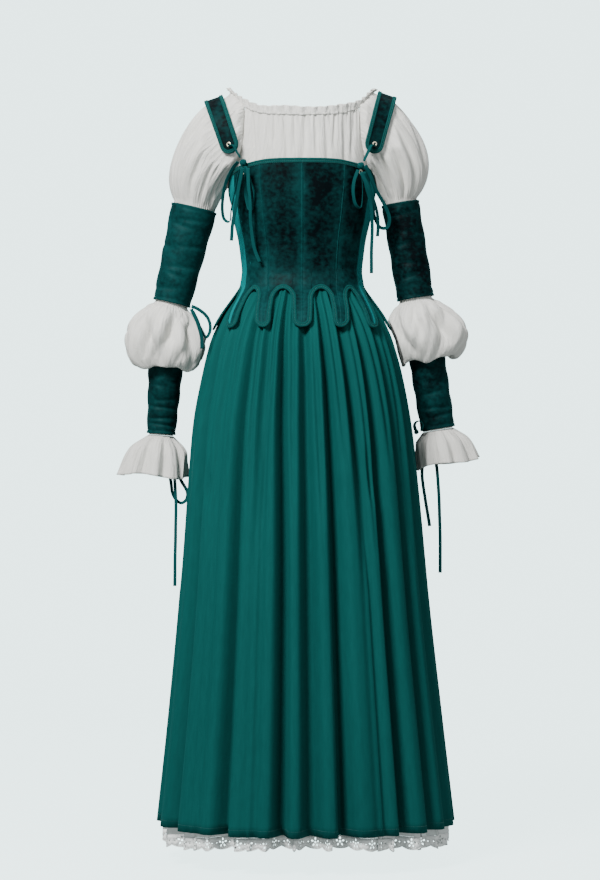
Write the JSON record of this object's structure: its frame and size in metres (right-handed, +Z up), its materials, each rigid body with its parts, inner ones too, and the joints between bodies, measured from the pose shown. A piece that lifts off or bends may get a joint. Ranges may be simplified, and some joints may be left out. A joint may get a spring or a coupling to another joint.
{
  "type": "historic costume dress",
  "caption": "Worn costume dress: laced velvet bodice with scalloped waist tabs, gathered crepe skirt, and a white chemise with puffed sleeves, wrist frills and a lace hem.",
  "frame": {"origin": "midway between the two shoulder straps, where the wearer's shoulders hold the dress up", "axes": "+Z up, +Y to the wearer's front, +X to the wearer's right"},
  "size_m": [0.6819, 0.4672, 1.3999],
  "materials": {
    "velvet": "deep green velvet pile",
    "side_crepe": "matte crinkled crepe",
    "skirt_crepe": "matte gathered crepe",
    "binding_crepe": "matte crepe bias binding",
    "ribbon_crepe": "matte flat crepe ribbon",
    "chemise_cotton": "crinkled white cotton",
    "lace_cotton": "embroidered eyelet cotton",
    "eyelet_brass": "polished"
  },
  "bodies": {
    "root": {"skirt": "skirt_crepe", "chemise_skirt": "chemise_cotton", "lace_hem_back": "lace_cotton", "lace_hem_front": "lace_cotton", "bodice_back_right": "velvet", "bodice_back_middle_right": "velvet", "bodice_crepe_side_back_right": "side_crepe", "bodice_side_front_right": "velvet", "bodice_front_middle_right": "velvet", "bodice_front_right": "velvet", "bodice_front_left": "velvet", "bodice_front_middle_left": "velvet", "bodice_side_front_left": "velvet", "bodice_crepe_side_back_left": "side_crepe", "bodice_back_middle_left": "velvet", "bodice_back_left": "velvet", "bodice_top_binding": "binding_crepe", "bodice_tab_binding": "binding_crepe", "chemise_back": "chemise_cotton", "chemise_front": "chemise_cotton", "strap_left": "velvet", "strap_binding_left": "binding_crepe", "strap_right": "velvet", "strap_binding_right": "binding_crepe", "chemise_sleeve_left": "chemise_cotton", "chemise_elbow_left": "chemise_cotton", "wrist_frill_left": "chemise_cotton", "chemise_sleeve_right": "chemise_cotton", "chemise_elbow_right": "chemise_cotton", "wrist_frill_right": "chemise_cotton", "neck_frill": "chemise_cotton", "velvet_upper_sleeve_left": "velvet", "velvet_upper_sleeve_right": "velvet", "velvet_lower_sleeve_left": "velvet", "velvet_lower_sleeve_right": "velvet", "strap_eyelet_left": "eyelet_brass", "bodice_eyelet_left": "eyelet_brass", "strap_eyelet_right": "eyelet_brass", "bodice_eyelet_right": "eyelet_brass", "shoulder_lacing_left": "ribbon_crepe", "shoulder_loop_inner_left": "ribbon_crepe", "shoulder_tail_inner_left": "ribbon_crepe", "shoulder_loop_outer_left": "ribbon_crepe", "shoulder_tail_outer_left": "ribbon_crepe", "shoulder_lacing_right": "ribbon_crepe", "shoulder_loop_inner_right": "ribbon_crepe", "shoulder_loop_outer_right": "ribbon_crepe", "shoulder_tail_long_right": "ribbon_crepe", "shoulder_tail_short_right": "ribbon_crepe", "elbow_loop_left": "ribbon_crepe", "elbow_tail_left": "ribbon_crepe", "wrist_tail_left": "ribbon_crepe", "wrist_loop_left": "ribbon_crepe", "wrist_loop_right": "ribbon_crepe", "wrist_tail_short_right": "ribbon_crepe", "wrist_tail_long_right": "ribbon_crepe", "shoulder_knot_left": "ribbon_crepe", "shoulder_knot_right": "ribbon_crepe", "wrist_knot_right": "ribbon_crepe"}
  },
  "joints": []
}
